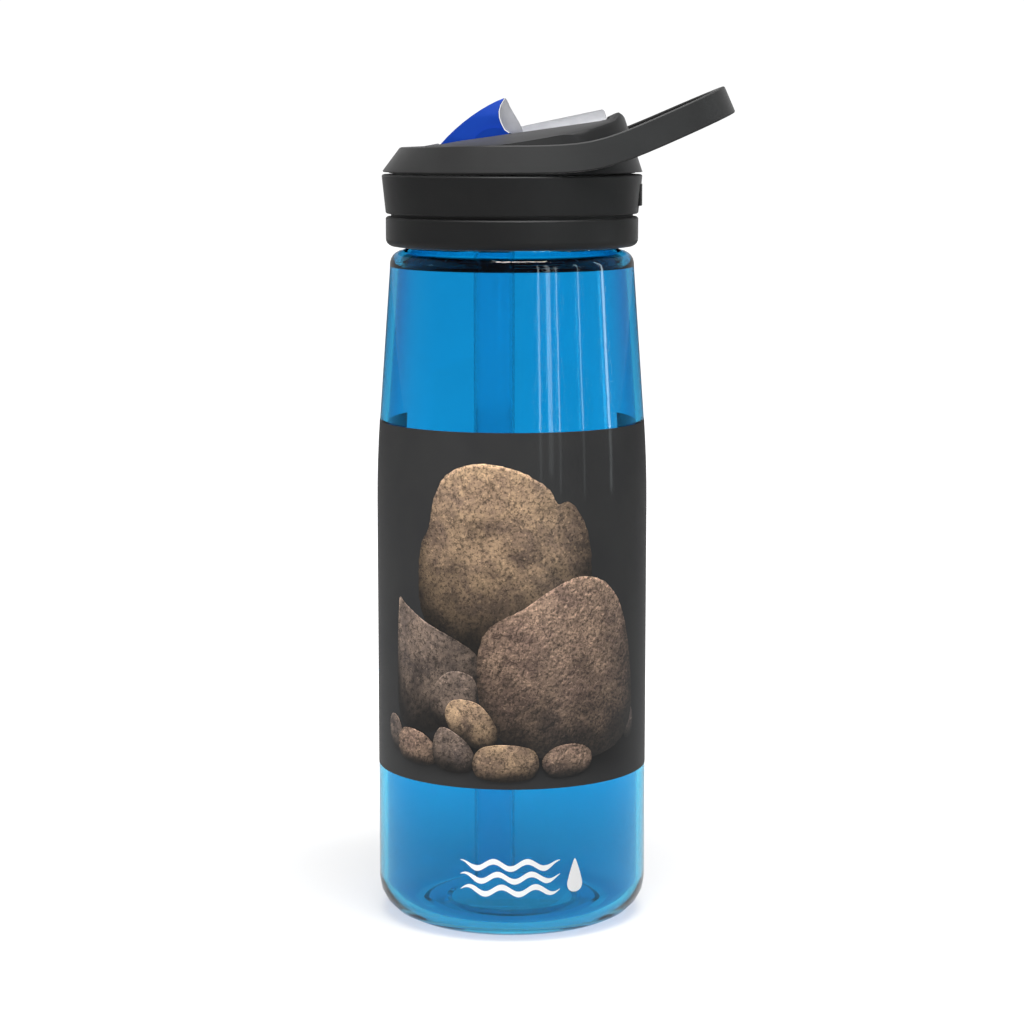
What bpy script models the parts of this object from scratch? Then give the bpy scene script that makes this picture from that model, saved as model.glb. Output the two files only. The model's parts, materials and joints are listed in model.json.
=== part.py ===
"""A clear drinking bottle with a screw lid, a carry handle and a flip-up bite spout.

Units are metres, +Z is up and +X points to the handle. The origin is the middle of the base.
Run with: blender --background --python part.py
"""

from math import asin, atan2, cos, degrees, exp, log, pi, radians, sin

import bmesh
import bpy
from mathutils import Vector

MM = 0.001

# Bottle: the body's radius sets the size of everything else.
BODY_R = 38.05 * MM
WALL = 2.2 * MM
BASE_CORNER_R = 9.9 * MM
RING_IN_R = 25.3 * MM  # flat ring that the bottle stands on
TAPER_START_Z = 118 * MM
TAPER_BLEND_R = 338 * MM
TAPER_ANGLE = radians(4.07)
SHOULDER_Z = 184.3 * MM
SHOULDER_R = 3.9 * MM
NECK_R = 29.5 * MM
MOUTH_R = 27.2 * MM
NECK_START_Z = 189.6 * MM
RIM_Z = 206.6 * MM

# Screw thread between the neck and the lid.
PITCH = 4 * MM
THREAD_HEIGHT = 1.25 * MM
THREAD_ROOT = 1.9 * MM
THREAD_CREST = 1.0 * MM
THREAD_START_Z = 195.2 * MM
NECK_TURNS = 1.25
LID_TURNS = 1.0

# Lid rings, from the bottom up.
GAP = 0.3 * MM
RUNNING_FIT = 0.1 * MM
LID_BOTTOM_Z = 190.2 * MM
COLLAR_R = 35.3 * MM
COLLAR_TOP_Z = 198.4 * MM
BAND_BOTTOM_Z = 199.3 * MM
BAND_TOP_Z = 210.1 * MM
BAND_TOP_R = 36.35 * MM
LINER_R = 33.8 * MM
LINER_IN_R = 31.15 * MM
DECK_UNDER_Z = 208.4 * MM
DECK_Z = 210.2 * MM

# Handle: a ribbon round the lid that leaves it and rises to a loop.
RIBBON_R = 36.3 * MM
RIBBON_Z = 210.8 * MM
RIBBON_WIDTH = 7.8 * MM
RIBBON_FRONT_WIDTH = 8.5 * MM
RIBBON_THICK = 2.8 * MM
RIBBON_EDGE = 0.35 * MM
HANDLE_REACH = 62.1 * MM
HANDLE_SLOPE = 0.44
RISE_X = 24.5 * MM
RISE_BLEND = 5 * MM
FLANGE_IN_R = 30.3 * MM
FLANGE_R = 34.3 * MM
FLANGE_TOP_Z = 211.7 * MM

# Cover: a cone cut by a sloping, slightly crowned top.
COVER_R = 36.4 * MM
COVER_LEAN = 0.34
COVER_BOTTOM_Z = 210.8 * MM
COVER_UNDER_Z = 212.0 * MM
TOP_Z = 221.75 * MM
TOP_SLOPE = 0.1403
TOP_CROWN = 0.003 / MM
FRONT_DROOP = 0.6 * MM
LIP_HEIGHT = 1.3 * MM
LIP_X = 29.2 * MM
COVER_WALL = 2.0 * MM
COVER_SIDE = 5.6 * MM  # thick enough to hold the groove that the ribbon lies in
LEDGE_IN_R = 31.6 * MM  # ring inside the cover that holds the handle's flange down
LEDGE_TOP_Z = 213.1 * MM
POST_CIRCLE_R = 23.4 * MM

# Spout: turns on the pivot, above the straw.
PIVOT = Vector((-5 * MM, 0, 216.4 * MM))
STOWED_ANGLE = radians(11.7)
HUB_R = 6.5 * MM
HUB_HALF = 10.1 * MM
TAB_HALF = 9.6 * MM
TRUNNION_R = 2.5 * MM
TRUNNION_END = 13.1 * MM
BORE_R = 2.6 * MM
SWEEP_R = 15.6 * MM
RECESS_HALF = 10.6 * MM
RECESS_END_R = 33.1 * MM
WELL_HALF = 10.4 * MM
TOWER_R = 4.6 * MM
STRAW_R = 5.75 * MM
STRAW_IN_R = 4.95 * MM
VENT_X = 16 * MM

ROUND = 84  # sides of a large round piece
SMALL_ROUND = 24

PLASTICS = {
    "bottle_blue": ((0.01, 0.28, 0.68), 0.08),
    "lid_black": ((0.03, 0.03, 0.03), 0.5),
    "spout_blue": ((0.01, 0.07, 0.6), 0.35),
    "clear_silicone": ((0.75, 0.76, 0.78), 0.4),
    "seal_silicone": ((0.6, 0.62, 0.65), 0.6),
    "straw_clear": ((0.55, 0.7, 0.85), 0.2),
}


def clear_scene():
    for obj in list(bpy.data.objects):
        bpy.data.objects.remove(obj)


def material(name):
    found = bpy.data.materials.get(name)
    if found:
        return found
    colour, roughness = PLASTICS[name]
    made = bpy.data.materials.new(name)
    made.use_nodes = True
    shader = made.node_tree.nodes["Principled BSDF"]
    shader.inputs["Base Color"].default_value = (*colour, 1)
    shader.inputs["Roughness"].default_value = roughness
    shader.inputs["Metallic"].default_value = 0
    return made


def mesh_object(name, bm, finish=None):
    """Puts a bmesh into the scene as a smooth-shaded object. With no finish it is a hidden tool."""
    bmesh.ops.remove_doubles(bm, verts=bm.verts, dist=1e-7)
    bmesh.ops.recalc_face_normals(bm, faces=bm.faces)
    mesh = bpy.data.meshes.new(name)
    bm.to_mesh(mesh)
    bm.free()
    mesh.shade_smooth()
    mesh.set_sharp_from_angle(angle=radians(35))
    obj = bpy.data.objects.new(name, mesh)
    bpy.context.scene.collection.objects.link(obj)
    if finish:
        mesh.materials.append(material(finish))
    else:
        obj.hide_render = True
        obj.display_type = "WIRE"
    return obj


def combine(target, tool, operation):
    """Joins tool to target, cuts it away or keeps what they share: UNION, DIFFERENCE or INTERSECT."""
    modifier = target.modifiers.new(f"{operation.lower()} {tool.name}", "BOOLEAN")
    modifier.operation = operation
    modifier.solver = "EXACT"
    modifier.object = tool


def revolved(name, outline, finish=None, sides=ROUND, centre=(0, 0)):
    """A solid turned about a vertical axis from an outline of (radius, height) points."""
    bm = bmesh.new()
    verts = [bm.verts.new((r, 0, z)) for r, z in outline]
    pairs = list(zip(verts, verts[1:]))
    if outline[0][0] > 0 or outline[-1][0] > 0:
        pairs.append((verts[-1], verts[0]))
    edges = [bm.edges.new(pair) for pair in pairs]
    bmesh.ops.spin(bm, geom=verts + edges, axis=(0, 0, 1), cent=(0, 0, 0), steps=sides,
                   angle=2 * pi, use_merge=True)
    obj = mesh_object(name, bm, finish)
    obj.location = (*centre, 0)
    return obj


def extruded(name, outline, half, finish=None):
    """A plate with an outline of (x, z) points, from y = -half to y = +half."""
    bm = bmesh.new()
    face = bm.faces.new([bm.verts.new((x, -half, z)) for x, z in outline])
    grown = bmesh.ops.extrude_face_region(bm, geom=[face])["geom"]
    moved = [v for v in grown if isinstance(v, bmesh.types.BMVert)]
    bmesh.ops.translate(bm, verts=moved, vec=(0, 2 * half, 0))
    return mesh_object(name, bm, finish)


def lofted(name, rings, finish=None, looped=False):
    """A skin over rings of points. The ends are capped unless the rings come round to the first."""
    bm = bmesh.new()
    rows = [[bm.verts.new(p) for p in ring] for ring in rings]
    count = len(rows[0])
    follows = rows[1:] + rows[:1] if looped else rows[1:]
    for row, after in zip(rows, follows):
        for i in range(count):
            j = (i + 1) % count
            bm.faces.new((row[i], row[j], after[j], after[i]))
    if not looped:
        bm.faces.new(rows[0])
        bm.faces.new(rows[-1])
    return mesh_object(name, bm, finish)


def rod(name, start, end, radius, finish=None, sides=SMALL_ROUND):
    """A round bar between two points."""
    start, end = Vector(start), Vector(end)
    across = (end - start).to_track_quat("Z", "Y")
    rings = [[point + across @ Vector((radius * cos(a), radius * sin(a), 0))
              for a in (2 * pi * (i + 0.5) / sides for i in range(sides))] for point in (start, end)]
    return lofted(name, rings, finish)


def arc(centre, radius, first, last, steps):
    """Points along a circle, from one angle to another, in degrees."""
    angles = [radians(first + (last - first) * i / steps) for i in range(steps + 1)]
    return [(centre[0] + radius * cos(a), centre[1] + radius * sin(a)) for a in angles]


def bezier(a, b, c, d, steps):
    """Points along a cubic curve."""
    points = []
    for i in range(steps + 1):
        t = i / steps
        weights = ((1 - t) ** 3, 3 * t * (1 - t) ** 2, 3 * t * t * (1 - t), t ** 3)
        points.append(tuple(sum(w * p[k] for w, p in zip(weights, (a, b, c, d))) for k in range(2)))
    return points


def smooth_step(value, low, high):
    t = min(1.0, max(0.0, (value - low) / (high - low)))
    return t * t * (3 - 2 * t)


# ---------------------------------------------------------------- bottle

def body_side(wall):
    """The side from the base corner up to the shoulder, moved in by wall, as (radius, height)."""
    radius = BODY_R - wall
    corner = BASE_CORNER_R - wall
    side = arc((radius - corner, corner + (3 * MM if wall else 0)), corner, -90, 0, 5)
    blend = [(radius - TAPER_BLEND_R * (1 - cos(a)), TAPER_START_Z + TAPER_BLEND_R * sin(a))
             for a in (TAPER_ANGLE * i / 4 for i in range(5))]
    drop = (SHOULDER_Z - blend[-1][1]) * sin(TAPER_ANGLE) / cos(TAPER_ANGLE)
    return side + blend + [(blend[-1][0] - drop, SHOULDER_Z)]


def helical_rib(name, root_r, crest_r, start_z, turns):
    """One turned thread rib, standing from root_r to crest_r, that fades out at both ends.

    Its corners lie half a step off those of the round wall that it stands on.
    """
    steps = round(turns * ROUND)
    fade = 5
    rings = []
    for i in range(steps + 1):
        grown = min(1.0, (min(i, steps - i) + 0.3) / fade)
        crest = root_r + (crest_r - root_r) * grown
        bite = root_r - 0.5 * MM if crest_r > root_r else root_r + 0.5 * MM
        angle = 2 * pi * (i + 0.5) / ROUND
        z = start_z + PITCH * i / ROUND
        corners = ((bite, -THREAD_ROOT / 2), (bite, THREAD_ROOT / 2),
                   (crest, THREAD_CREST / 2), (crest, -THREAD_CREST / 2))
        rings.append([(r * cos(angle), r * sin(angle), z + dz) for r, dz in corners])
    return lofted(name, rings)


def make_bottle():
    outer = body_side(0)
    inner = body_side(WALL)
    top_r = outer[-1][0]
    shoulder = arc((top_r - SHOULDER_R, SHOULDER_Z + 0.9 * MM), SHOULDER_R, 8, 84, 5)
    in_r = inner[-1][0]
    groove = 1.4 * MM
    outline = [(0, 0), (17 * MM, 0), (18.5 * MM, groove), (23.8 * MM, groove), (RING_IN_R, 0)]
    outline += outer + shoulder
    outline += [(NECK_R, NECK_START_Z), (NECK_R, RIM_Z - 0.8 * MM), (NECK_R - 0.7 * MM, RIM_Z)]
    outline += [(MOUTH_R + 0.5 * MM, RIM_Z), (MOUTH_R, RIM_Z - 0.6 * MM), (MOUTH_R, 188.4 * MM)]
    outline += [(28.4 * MM, 187 * MM), (in_r - 1.2 * MM, 185.8 * MM)] + inner[::-1]
    outline += [(20 * MM, 4.6 * MM), (0, 5.6 * MM)]
    bottle = revolved("bottle_body", outline, "bottle_blue")
    rib = helical_rib("neck_rib", NECK_R, NECK_R + THREAD_HEIGHT, THREAD_START_Z, NECK_TURNS)
    combine(bottle, rib, "UNION")


# ---------------------------------------------------------------- lid rings

def make_gasket():
    low, high = RIM_Z + GAP, DECK_UNDER_Z - GAP
    edge = 0.4 * MM
    inner, outer = 27.5 * MM, 30.8 * MM
    outline = [(inner, low), (outer - edge, low), (outer, low + edge), (outer, high - edge)]
    outline += [(outer - edge, high), (inner, high)]
    revolved("lid_gasket", outline, "seal_silicone")


def well_outline(radius, right, top):
    """The well that the spout's tab turns down into: a sector about the pivot, open at the top."""
    start = 180 + degrees(asin((PIVOT.z - top) / radius))
    return arc((PIVOT.x, PIVOT.z), radius, start, 270, 9) + [(right, PIVOT.z - radius), (right, top)]


def make_lid_base():
    """The threaded liner with its deck, the spout's well, the seal's tower and the straw's spigot."""
    skirt_z = LID_BOTTOM_Z + 1.3 * MM
    outline = [(0, DECK_Z), (LINER_R - 0.4 * MM, DECK_Z), (LINER_R, DECK_Z - 0.4 * MM), (LINER_R, skirt_z)]
    outline += [(LINER_IN_R, skirt_z), (LINER_IN_R, DECK_UNDER_Z), (0, DECK_UNDER_Z)]
    base = revolved("lid_base", outline, "lid_black")
    crest = LINER_IN_R - THREAD_HEIGHT
    rib = helical_rib("liner_rib", LINER_IN_R, crest, THREAD_START_Z - 0.5 * PITCH, LID_TURNS)
    combine(base, rib, "UNION")
    wall = 1.5 * MM
    right = PIVOT.x + 1.4 * MM
    tub = well_outline(SWEEP_R + wall, right + wall, DECK_Z - 0.9 * MM)
    combine(base, extruded("well_wall", tub, WELL_HALF + wall), "UNION")
    well = well_outline(SWEEP_R, right, DECK_Z + 2 * MM)
    combine(base, extruded("well_cut", well, WELL_HALF), "DIFFERENCE")
    side = Vector((0, RECESS_HALF, 0))
    hub_cut = rod("hub_cut", PIVOT - side, PIVOT + side, HUB_R + 0.4 * MM, sides=32)
    combine(base, hub_cut, "DIFFERENCE")
    at = (PIVOT.x, 0)
    spigot = [(0, 187 * MM), (4.2 * MM, 187 * MM), (4.7 * MM, 189.5 * MM), (4.3 * MM, 189.5 * MM)]
    spigot += [(4.3 * MM, 199.6 * MM), (TOWER_R, 200 * MM), (TOWER_R, 207.6 * MM), (0, 207.6 * MM)]
    combine(base, revolved("tower", spigot, sides=SMALL_ROUND, centre=at), "UNION")
    bore = [(0, 186 * MM), (BORE_R, 186 * MM), (BORE_R, 205.5 * MM), (3.9 * MM, 205.5 * MM)]
    bore += [(3.9 * MM, 212 * MM), (0, 212 * MM)]
    combine(base, revolved("tower_bore", bore, sides=SMALL_ROUND, centre=at), "DIFFERENCE")
    low, high = DECK_UNDER_Z - 8 * MM, DECK_Z + 5 * MM
    stem_hole = rod("vent_stem_hole", (VENT_X, 0, low), (VENT_X, 0, high), 1.6 * MM, sides=12)
    combine(base, stem_hole, "DIFFERENCE")
    for i in range(4):
        a = pi / 4 + i * pi / 2
        x, y = VENT_X + 3.1 * MM * cos(a), 3.1 * MM * sin(a)
        hole = rod(f"vent_hole_{i}", (x, y, low), (x, y, high), 0.7 * MM, sides=8)
        combine(base, hole, "DIFFERENCE")



def make_vent_valve():
    """A silicone umbrella: a thin disc under the deck on a stem with a bulb above."""
    low = DECK_UNDER_Z - GAP
    outline = [(0, low - 1.3 * MM), (2 * MM, low - 1.2 * MM), (5 * MM, low - 0.5 * MM), (5 * MM, low)]
    outline += [(1.2 * MM, low), (1.2 * MM, DECK_Z + GAP), (2.1 * MM, DECK_Z + GAP)]
    outline += [(1.6 * MM, 211.4 * MM), (0, 211.7 * MM)]
    revolved("vent_valve", outline, "seal_silicone", sides=20, centre=(VENT_X, 0))


def make_collar():
    """The lower ring, wrapped under the liner's skirt."""
    inner = LINER_R + GAP
    corner = arc((COLLAR_R - 2.2 * MM, LID_BOTTOM_Z + 2.2 * MM), 2.2 * MM, -90, 0, 5)
    floor_r, floor_z = LINER_IN_R + 0.3 * MM, LID_BOTTOM_Z + 1 * MM
    outline = [(floor_r, LID_BOTTOM_Z)] + corner
    outline += [(COLLAR_R, COLLAR_TOP_Z - 0.4 * MM), (COLLAR_R - 0.4 * MM, COLLAR_TOP_Z)]
    outline += [(inner, COLLAR_TOP_Z), (inner, floor_z), (floor_r, floor_z)]
    revolved("lower_collar", outline, "lid_black")


def make_band():
    """The middle ring, wider at the top."""
    inner = LINER_R + GAP
    edge = 0.35 * MM
    outline = [(inner, BAND_BOTTOM_Z), (COLLAR_R - edge, BAND_BOTTOM_Z), (COLLAR_R, BAND_BOTTOM_Z + edge)]
    outline += [(BAND_TOP_R, BAND_TOP_Z - edge), (BAND_TOP_R - edge, BAND_TOP_Z), (inner, BAND_TOP_Z)]
    band = revolved("grip_band", outline, "lid_black")
    low, high = BAND_BOTTOM_Z + 2.2 * MM, BAND_TOP_Z - 2.6 * MM
    deep, proud = COLLAR_R - 1 * MM, COLLAR_R + 1.05 * MM
    for i in range(-2, 3):
        along = Vector((cos(radians(5 * i)), sin(radians(5 * i)), 0))
        side = 0.8 * MM * along.cross(Vector((0, 0, 1)))
        rings = [[along * deep + side * k + Vector((0, 0, z)) for k in (-1, 1)]
                 + [along * proud + side * k + Vector((0, 0, z)) for k in (0.7, -0.7)] for z in (low, high)]
        combine(band, lofted(f"band_rib_{i + 2}", rings), "UNION")


# ---------------------------------------------------------------- handle

def handle_plan():
    """Half of the ribbon's lower outer edge seen from above, from the lid's front to the loop's tip."""
    ring = [(x, y) for x, y in arc((0, 0), RIBBON_R, 180, 270, 12)]
    bend = (46 * MM, -23.6 * MM)
    arm = bezier((0, -RIBBON_R), (17 * MM, -RIBBON_R), (30 * MM, -27.8 * MM), bend, 10)
    tip = bezier(bend, (54.7 * MM, -21.3 * MM), (HANDLE_REACH, -13 * MM), (HANDLE_REACH, 0), 9)
    return ring + arm[1:] + tip[1:]


def ribbon_height(x):
    """Height of the ribbon's lower edge: level round the lid, then a straight climb."""
    return RIBBON_Z + HANDLE_SLOPE * RISE_BLEND * log(1 + exp((x - RISE_X) / RISE_BLEND))


def clipped(corners, edge):
    """A ring of points with each corner cut off, edge away from it both ways."""
    points = []
    for i, corner in enumerate(corners):
        for other in (corners[i - 1], corners[(i + 1) % len(corners)]):
            points.append(corner + (other - corner).normalized() * edge)
    return points


def handle_sections(outward=0.0, inward=RIBBON_THICK, below=0.0, above=0.0):
    """Cross-sections right round the handle. The margins grow it into the tool that cuts the cover."""
    half = handle_plan()
    points = half + [(x, -y) for x, y in half[-2:0:-1]]
    count = len(points)
    sections = []
    for i, (x, y) in enumerate(points):
        before, after = points[i - 1], points[(i + 1) % count]
        level = Vector((after[0] - before[0], after[1] - before[1], 0)).normalized()
        inside = Vector((-level.y, level.x, 0))
        lean = radians(37 - 21 * smooth_step(x, -RIBBON_R, 0))
        on_lid = inside * sin(lean) + Vector((0, 0, cos(lean)))
        climb = atan2(HANDLE_SLOPE, 1)
        on_loop = Vector((-sin(climb), 0, cos(climb)))
        share = smooth_step(x, 2 * MM, 40 * MM)
        up = (on_lid * (1 - share) + on_loop * share).normalized()
        along = Vector((level.x, level.y, level.x * HANDLE_SLOPE * share)).normalized()
        square = up.cross(along).normalized()
        through = (inside * (1 - share) + square * share).normalized()
        width = RIBBON_FRONT_WIDTH + (RIBBON_WIDTH - RIBBON_FRONT_WIDTH) * smooth_step(x, -RIBBON_R, 0)
        low = Vector((x, y, ribbon_height(x))) - up * below
        high = low + up * (width + below + above)
        corners = [low - through * outward, high - through * outward,
                   high + through * inward, low + through * inward]
        sections.append(corners)
    return sections


def make_handle():
    rings = [clipped(corners, RIBBON_EDGE) for corners in handle_sections()]
    handle = lofted("carry_handle", rings, "lid_black", looped=True)
    low = DECK_Z + GAP
    ring = [(FLANGE_IN_R, low), (FLANGE_R, low), (FLANGE_R, FLANGE_TOP_Z), (FLANGE_IN_R, FLANGE_TOP_Z)]
    combine(handle, revolved("handle_flange", ring), "UNION")


# ---------------------------------------------------------------- cover

def top_height(x, y):
    """Height of the cover's top, with a rounded lip behind the stowed bite valve."""
    lip = LIP_HEIGHT * exp(-((x - LIP_X) / (2.4 * MM)) ** 2) * (1 - smooth_step(abs(y), 7 * MM, 15 * MM))
    droop = FRONT_DROOP * smooth_step(-x, 12 * MM, 31 * MM)
    return TOP_Z + TOP_SLOPE * x - TOP_CROWN * y * y + lip - droop


def edge_radius(angle, radius, drop):
    """Where the sloping top, lowered by drop, meets a cone of that bottom radius, at one angle."""
    low, high = 0.5 * radius, radius
    for _ in range(40):
        r = (low + high) / 2
        if top_height(r * cos(angle), r * sin(angle)) - drop < COVER_BOTTOM_Z + (radius - r) / COVER_LEAN:
            low = r
        else:
            high = r
    return low


def dome(name, radius, drop, bottom, rounding, finish=None):
    """A cone up to the sloping top: the cover's outer form, and the smaller hollow under it."""
    turns = [2 * pi * i / ROUND for i in range(ROUND)]
    edges = [edge_radius(a, radius, drop) for a in turns]
    rings = []
    for share in (0.001, 0.3, 0.55, 0.75, 0.88, 1):
        radii = [(edge - rounding) * share for edge in edges]
        rings.append([(r * cos(a), r * sin(a), top_height(r * cos(a), r * sin(a)) - drop)
                      for r, a in zip(radii, turns)])
    for inset, fall in ((0.3, 0.3), (0, 1)) if rounding else ():
        fallen = drop + rounding * fall
        radii = [edge + rounding * (COVER_LEAN * fall - inset) for edge in edges]
        rings.append([(r * cos(a), r * sin(a), top_height(edge * cos(a), edge * sin(a)) - fallen)
                      for r, a, edge in zip(radii, turns, edges)])
    foot = radius + (COVER_BOTTOM_Z - bottom) * COVER_LEAN
    rings.append([(foot * cos(a), foot * sin(a), bottom) for a in turns])
    return lofted(name, rings, finish)


def recess_outline():
    """The slot that the stowed spout lies in, seen from the side, from below the cover to above it."""
    left = PIVOT.x - SWEEP_R
    step = 5.2 * MM
    floor = [(step, COVER_UNDER_Z - 1 * MM), (step, 213.1 * MM), (26.8 * MM, 217 * MM)]
    end = arc((PIVOT.x, PIVOT.z), RECESS_END_R, 1.8, 20, 6)
    high = 231 * MM
    return [(left, COVER_UNDER_Z - 1 * MM)] + floor + end + [(end[-1][0], high), (left, high)]


def make_cover():
    cover = dome("lid_cover", COVER_R, 0, COVER_BOTTOM_Z, 1.2 * MM, "lid_black")
    seat = [(0, COVER_BOTTOM_Z - 1 * MM), (FLANGE_R + GAP, COVER_BOTTOM_Z - 1 * MM)]
    seat += [(FLANGE_R + GAP, COVER_UNDER_Z), (LEDGE_IN_R, COVER_UNDER_Z)]
    seat += [(LEDGE_IN_R, LEDGE_TOP_Z + 1 * MM), (0, LEDGE_TOP_Z + 1 * MM)]
    combine(cover, revolved("flange_seat", seat), "DIFFERENCE")
    hollow = dome("hollow", COVER_R - COVER_SIDE, COVER_WALL, LEDGE_TOP_Z, 0)
    hollow.location.x = 1.5 * MM
    wall = 1.7 * MM
    left, right = PIVOT.x - SWEEP_R - wall, 29.8 * MM
    tub = [(left, 205 * MM), (right, 205 * MM), (right, 235 * MM), (left, 235 * MM)]
    combine(hollow, extruded("recess_wall", tub, RECESS_HALF + wall), "DIFFERENCE")
    reach = Vector((0, 15 * MM, 0))
    combine(hollow, rod("boss", PIVOT - reach, PIVOT + reach, 4.7 * MM), "DIFFERENCE")
    combine(cover, hollow, "DIFFERENCE")
    for i in range(4):
        a = radians(52 + (76 if i % 2 else 0) + (180 if i > 1 else 0))
        x, y = POST_CIRCLE_R * cos(a), POST_CIRCLE_R * sin(a)
        top = top_height(x, y) - COVER_WALL / 2
        post = rod(f"post_{i}", (x, y, DECK_Z + GAP), (x, y, top), 2.3 * MM, sides=12)
        combine(cover, post, "UNION")
    combine(cover, extruded("recess", recess_outline(), RECESS_HALF), "DIFFERENCE")
    reach = Vector((0, TRUNNION_END + GAP, 0))
    combine(cover, rod("bearing", PIVOT - reach, PIVOT + reach, TRUNNION_R + RUNNING_FIT), "DIFFERENCE")
    sections = handle_sections(10 * MM, RIBBON_THICK + GAP, 1.6 * MM, 4 * MM)
    combine(cover, lofted("handle_cut", sections, looped=True), "DIFFERENCE")


# ---------------------------------------------------------------- spout

def spout_point(along, across, side=0.0):
    """A point by its distance from the pivot along the stowed spout, and its height off that line."""
    c, s = cos(STOWED_ANGLE), sin(STOWED_ANGLE)
    return (PIVOT.x + along * c - across * s, side, PIVOT.z + along * s + across * c)


TAB_TIP = (-19.8 * MM, 218.3 * MM)
TAB_TOP = (-2.1 * MM, 231.1 * MM)
TAB_BACK = (-1.2 * MM, 220.9 * MM)


def tab_edges():
    """The thumb tab's rounded front, from tip to top, and its hollow back, from the top down."""
    front = bezier(TAB_TIP, (-14.8 * MM, 224.2 * MM), (-7.5 * MM, 229.2 * MM), TAB_TOP, 8)
    back = bezier(TAB_TOP, (-5.2 * MM, 227.2 * MM), (-3.4 * MM, 224.2 * MM), TAB_BACK, 6)
    return front, back


def oval_section(along, height, width, sides=SMALL_ROUND, power=2.6):
    """A rounded oblong ring square to the stowed spout."""
    ring = []
    for i in range(sides):
        a = 2 * pi * i / sides
        c, s = cos(a), sin(a)
        y = width * (abs(c) ** (2 / power)) * (1 if c >= 0 else -1)
        z = height * (abs(s) ** (2 / power)) * (1 if s >= 0 else -1)
        ring.append(spout_point(along, z, y))
    return ring


def make_lever():
    """The blue flip piece: a hub on two trunnions, a hollow thumb tab and the nipple for the bite valve."""
    hub_side = Vector((0, HUB_HALF, 0))
    lever = rod("spout_lever", PIVOT - hub_side, PIVOT + hub_side, HUB_R, "spout_blue", sides=32)
    ends = Vector((0, TRUNNION_END, 0))
    combine(lever, rod("trunnions", PIVOT - ends, PIVOT + ends, TRUNNION_R), "UNION")
    front, back = tab_edges()
    root = [(-4 * MM, 217 * MM), (-10.6 * MM, 213.9 * MM)]
    tab = extruded("tab", front + back[1:] + root, TAB_HALF)
    side = ((0, 205), (0, 220), (0.9, 226), (2.6, 230), (5, 232))
    crest = [(-TAB_HALF + inset * MM, z * MM) for inset, z in side]
    profile = crest + [(-y, z) for y, z in crest[::-1]]
    bm = bmesh.new()
    face = bm.faces.new([bm.verts.new((-25 * MM, y, z)) for y, z in profile])
    grown = bmesh.ops.extrude_face_region(bm, geom=[face])["geom"]
    moved = [v for v in grown if isinstance(v, bmesh.types.BMVert)]
    bmesh.ops.translate(bm, verts=moved, vec=(35 * MM, 0, 0))
    combine(tab, mesh_object("tab_sides", bm), "INTERSECT")
    skin = 1.6 * MM
    inside = [(x + 0.5 * skin, z - 1.5 * skin) for x, z in front[1:-2]]
    inside += [(-5.4 * MM, 226.4 * MM), (-5 * MM, 224 * MM), (-5.4 * MM, 205 * MM), (-24 * MM, 205 * MM)]
    inside += [(-24 * MM, 217 * MM)]
    combine(tab, extruded("tab_hollow", inside, TAB_HALF - skin), "DIFFERENCE")
    combine(lever, tab, "UNION")
    nipple = rod("nipple", spout_point(0, 0), spout_point(15 * MM, 0), 4.2 * MM)
    combine(lever, nipple, "UNION")
    channel = rod("channel", spout_point(-9 * MM, 0), spout_point(17 * MM, 0), BORE_R)
    combine(lever, channel, "DIFFERENCE")


BITE_SECTIONS = (  # distance along the spout, half height and half width, all in mm
    (6.4, 5.2, 8.6), (9.0, 5.25, 8.6), (10.4, 5.26, 8.2), (17.0, 5.26, 9.0),
    (24.0, 5.26, 9.8), (31.6, 5.26, 10.0), (32.05, 5.12, 9.86), (32.2, 4.8, 9.5),
)


def make_bite_valve():
    """The soft mouthpiece: pushed on the nipple, with a lip that lies up the back of the thumb tab."""
    rings = [oval_section(s * MM, a * MM, b * MM) for s, a, b in BITE_SECTIONS]
    valve = lofted("bite_valve", rings, "clear_silicone")
    _, back = tab_edges()
    against = [(x + GAP, z) for x, z in back]
    outer = bezier((3.2 * MM, 221.2 * MM), (2.8 * MM, 224.2 * MM), (0.2 * MM, 226.6 * MM),
                   (-1.3 * MM, 230.4 * MM), 6)
    lip = extruded("lip", against + [(1.4 * MM, 219.6 * MM), (5.5 * MM, 219.8 * MM)] + outer, 7 * MM)
    combine(valve, lip, "UNION")
    side = Vector((0, RECESS_HALF, 0))
    combine(valve, rod("hub_clearance", PIVOT - side, PIVOT + side, HUB_R + GAP, sides=32), "DIFFERENCE")
    socket = rod("socket", spout_point(5 * MM, 0), spout_point(15.4 * MM, 0), 4.5 * MM)
    combine(valve, socket, "DIFFERENCE")
    widening = ((15, 2.8, 3.2), (22, 2.6, 6), (30.2, 1.6, 7))
    channel = [oval_section(s * MM, a * MM, b * MM, 12, 2) for s, a, b in widening]
    combine(valve, lofted("mouth_channel", channel), "DIFFERENCE")
    slit = [oval_section(s * MM, 0.35 * MM, 6 * MM, 12, 2) for s in (29.5, 33)]
    combine(valve, lofted("slit", slit), "DIFFERENCE")


def make_spout_seal():
    """The ring on the tower that the hub rubs on, hollowed to the hub's curve."""
    outline = [(2.4 * MM, 205.8 * MM), (3.6 * MM, 205.8 * MM), (3.6 * MM, 212 * MM), (2.4 * MM, 212 * MM)]
    seal = revolved("spout_seal", outline, "seal_silicone", SMALL_ROUND, (PIVOT.x, 0))
    side = Vector((0, HUB_HALF, 0))
    combine(seal, rod("hub_rub", PIVOT - side, PIVOT + side, HUB_R + GAP, sides=32), "DIFFERENCE")


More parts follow.
